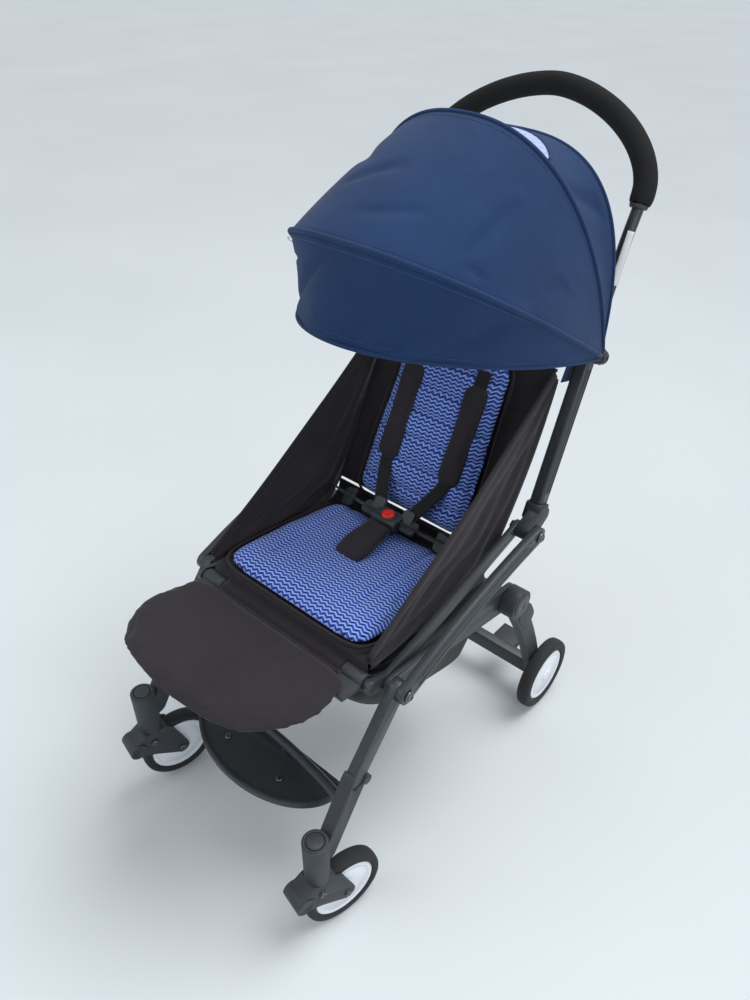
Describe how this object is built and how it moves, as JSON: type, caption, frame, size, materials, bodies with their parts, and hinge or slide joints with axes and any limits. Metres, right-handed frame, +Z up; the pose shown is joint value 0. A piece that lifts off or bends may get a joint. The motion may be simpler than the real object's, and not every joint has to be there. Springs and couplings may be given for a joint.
{
  "type": "baby stroller",
  "caption": "Compact folding baby stroller with a sliding arch handle, three-bow canopy, reclining padded seat, harness, leg rest, basket and swivel front casters.",
  "frame": {"origin": "on the floor, under the middle of the stroller's outer box", "axes": "+Z up, the child looks along -Y, +X is the child's left hand"},
  "size_m": [0.464, 0.8533, 1.0674],
  "materials": {
    "frame_paint": "satin charcoal powder coat",
    "dark_plastic": "fine-grained matte moulded plastic",
    "steel": "dark zinc plated",
    "tyre_rubber": "matte",
    "white_plastic": "satin white",
    "foam": "matte closed-cell foam",
    "blue_cloth": "woven polyester",
    "black_cloth": "woven polyester",
    "printed_cloth": "printed cotton, blue and white zigzag",
    "red_plastic": "gloss"
  },
  "bodies": {
    "chassis": {"side_arm_left": "frame_paint", "side_arm_right": "frame_paint", "hub_bar_left": "frame_paint", "hub_bar_right": "frame_paint", "front_joint_bolt_left": "steel", "front_joint_bolt_right": "steel", "rear_joint_bolt_left": "steel", "rear_joint_bolt_right": "steel", "waist_belt_left": "black_cloth", "waist_belt_right": "black_cloth", "seat_frame_tube": "frame_paint", "hub_cross_tube": "frame_paint", "seat_cushion": "printed_cloth", "seat_fabric": "black_cloth", "basket": "black_cloth", "crotch_pad": "black_cloth", "harness_buckle": "dark_plastic"},
    "handle": {"handle_elbow_left": "dark_plastic", "handle_elbow_right": "dark_plastic", "handle_lower_tube_left": "frame_paint", "handle_lower_tube_right": "frame_paint", "canopy_clip_left": "dark_plastic", "canopy_clip_right": "dark_plastic", "back_fabric": "black_cloth"},
    "handle_upper": {"handle_arch_tube": "frame_paint", "handle_foam_grip": "foam"},
    "backrest": {"back_pad": "printed_cloth", "shoulder_pad_left": "black_cloth", "shoulder_pad_right": "black_cloth"},
    "canopy_rear": {"canopy_rear_bow": "dark_plastic"},
    "canopy_mid": {"canopy_mid_bow": "dark_plastic", "canopy_rear_panel": "blue_cloth"},
    "canopy_front": {"canopy_front_bow": "dark_plastic", "canopy_front_panel": "blue_cloth", "canopy_visor": "blue_cloth"},
    "front_legs": {"front_leg_left": "frame_paint", "front_leg_right": "frame_paint", "caster_housing_left": "dark_plastic", "caster_housing_right": "dark_plastic", "front_crossbar": "frame_paint", "footplate": "dark_plastic"},
    "rear_legs": {"rear_leg_left": "dark_plastic", "rear_leg_right": "dark_plastic", "rear_axle_beam": "frame_paint"},
    "leg_rest": {"leg_rest_board": "black_cloth", "leg_rest_hinge_left": "dark_plastic", "leg_rest_hinge_right": "dark_plastic"},
    "brake": {"brake_pedal": "dark_plastic"},
    "release": {"fold_release_slider": "red_plastic"},
    "buckle_press": {"buckle_button": "red_plastic"},
    "caster_left": {"caster_fork_left": "dark_plastic"},
    "front_wheel_left": {"front_wheel_disc_left": "white_plastic", "front_tyre_left": "tyre_rubber"},
    "rear_wheel_left": {"rear_wheel_disc_left": "white_plastic", "rear_tyre_left": "tyre_rubber"},
    "caster_right": {"caster_fork_right": "dark_plastic"},
    "front_wheel_right": {"front_wheel_disc_right": "white_plastic", "front_tyre_right": "tyre_rubber"},
    "rear_wheel_right": {"rear_wheel_disc_right": "white_plastic", "rear_tyre_right": "tyre_rubber"}
  },
  "joints": [
    {"name": "frame_fold", "type": "hinge", "parent": "chassis", "child": "handle", "pos_m": [0, 0.15, 0.472], "axis": [1, 0, 0], "range_deg": [0, 102.5], "deforming": ["seat_cushion", "seat_fabric", "basket", "back_fabric", "crotch_pad", "waist_belt_left", "waist_belt_right", "canopy_rear_panel", "canopy_front_panel", "canopy_visor", "back_pad", "shoulder_pad_left", "shoulder_pad_right"]},
    {"name": "front_legs_fold", "type": "hinge", "parent": "chassis", "child": "front_legs", "pos_m": [0, -0.172, 0.389], "axis": [1, 0, 0], "range_deg": [-40.01, 0.01]},
    {"name": "rear_legs_fold", "type": "hinge", "parent": "chassis", "child": "rear_legs", "pos_m": [0, 0.128, 0.339], "axis": [1, 0, 0], "range_deg": [-100.01, 0.01]},
    {"name": "canopy_rear_turn", "type": "hinge", "parent": "handle", "child": "canopy_rear", "pos_m": [0, 0.2715, 0.73256], "axis": [1, 0, 0], "range_deg": [-4.01, 0.01]},
    {"name": "canopy_mid_turn", "type": "hinge", "parent": "canopy_rear", "child": "canopy_mid", "pos_m": [0, 0.2715, 0.73256], "axis": [1, 0, 0], "range_deg": [-10.51, 0.01]},
    {"name": "canopy_front_turn", "type": "hinge", "parent": "canopy_mid", "child": "canopy_front", "pos_m": [0, 0.2715, 0.73256], "axis": [1, 0, 0], "range_deg": [-36.01, 0.01]},
    {"name": "handle_slide", "type": "slide", "parent": "handle", "child": "handle_upper", "axis": [0, -0.346, -0.9382], "range_m": [0, 0.11]},
    {"name": "backrest_recline", "type": "hinge", "parent": "handle", "child": "backrest", "pos_m": [0, 0.096, 0.434], "axis": [1, 0, 0], "range_deg": [-14, 0]},
    {"name": "leg_rest_tilt", "type": "hinge", "parent": "chassis", "child": "leg_rest", "pos_m": [0, -0.202, 0.402], "axis": [1, 0, 0], "range_deg": [0, 70]},
    {"name": "brake_press", "type": "hinge", "parent": "rear_legs", "child": "brake", "pos_m": [0.121, 0.2654, 0.072], "axis": [1, 0, 0], "range_deg": [-18, 0]},
    {"name": "fold_release_travel", "type": "slide", "parent": "chassis", "child": "release", "axis": [1, 0, 0], "range_m": [0, 0.006], "stiffness_N_per_m": 300},
    {"name": "buckle_button_press", "type": "slide", "parent": "chassis", "child": "buckle_press", "axis": [0, 0, -1], "range_m": [0, 0.003], "stiffness_N_per_m": 300},
    {"name": "caster_left_swivel", "type": "hinge", "parent": "front_legs", "child": "caster_left", "pos_m": [0.198, -0.344, 0.137], "axis": [0, 0, 1], "continuous": true},
    {"name": "front_wheel_left_spin", "type": "hinge", "parent": "caster_left", "child": "front_wheel_left", "pos_m": [0.20632, -0.30487, 0.066], "axis": [0.9781, -0.2079, 0], "continuous": true},
    {"name": "rear_wheel_left_spin", "type": "hinge", "parent": "rear_legs", "child": "rear_wheel_left", "pos_m": [0.219, 0.252, 0.072], "axis": [1, 0, 0], "continuous": true},
    {"name": "caster_right_swivel", "type": "hinge", "parent": "front_legs", "child": "caster_right", "pos_m": [-0.198, -0.344, 0.137], "axis": [0, 0, 1], "continuous": true},
    {"name": "front_wheel_right_spin", "type": "hinge", "parent": "caster_right", "child": "front_wheel_right", "pos_m": [-0.18968, -0.30487, 0.066], "axis": [0.9781, -0.2079, 0], "continuous": true},
    {"name": "rear_wheel_right_spin", "type": "hinge", "parent": "rear_legs", "child": "rear_wheel_right", "pos_m": [-0.219, 0.252, 0.072], "axis": [1, 0, 0], "continuous": true}
  ],
  "couplings": [
    {"joint": "front_legs_fold", "follows": "frame_fold", "ratio": -0.39024},
    {"joint": "rear_legs_fold", "follows": "frame_fold", "ratio": -0.97561},
    {"joint": "canopy_rear_turn", "follows": "frame_fold", "ratio": -0.039024},
    {"joint": "canopy_mid_turn", "follows": "frame_fold", "ratio": -0.099512},
    {"joint": "canopy_front_turn", "follows": "frame_fold", "ratio": -0.35122}
  ]
}
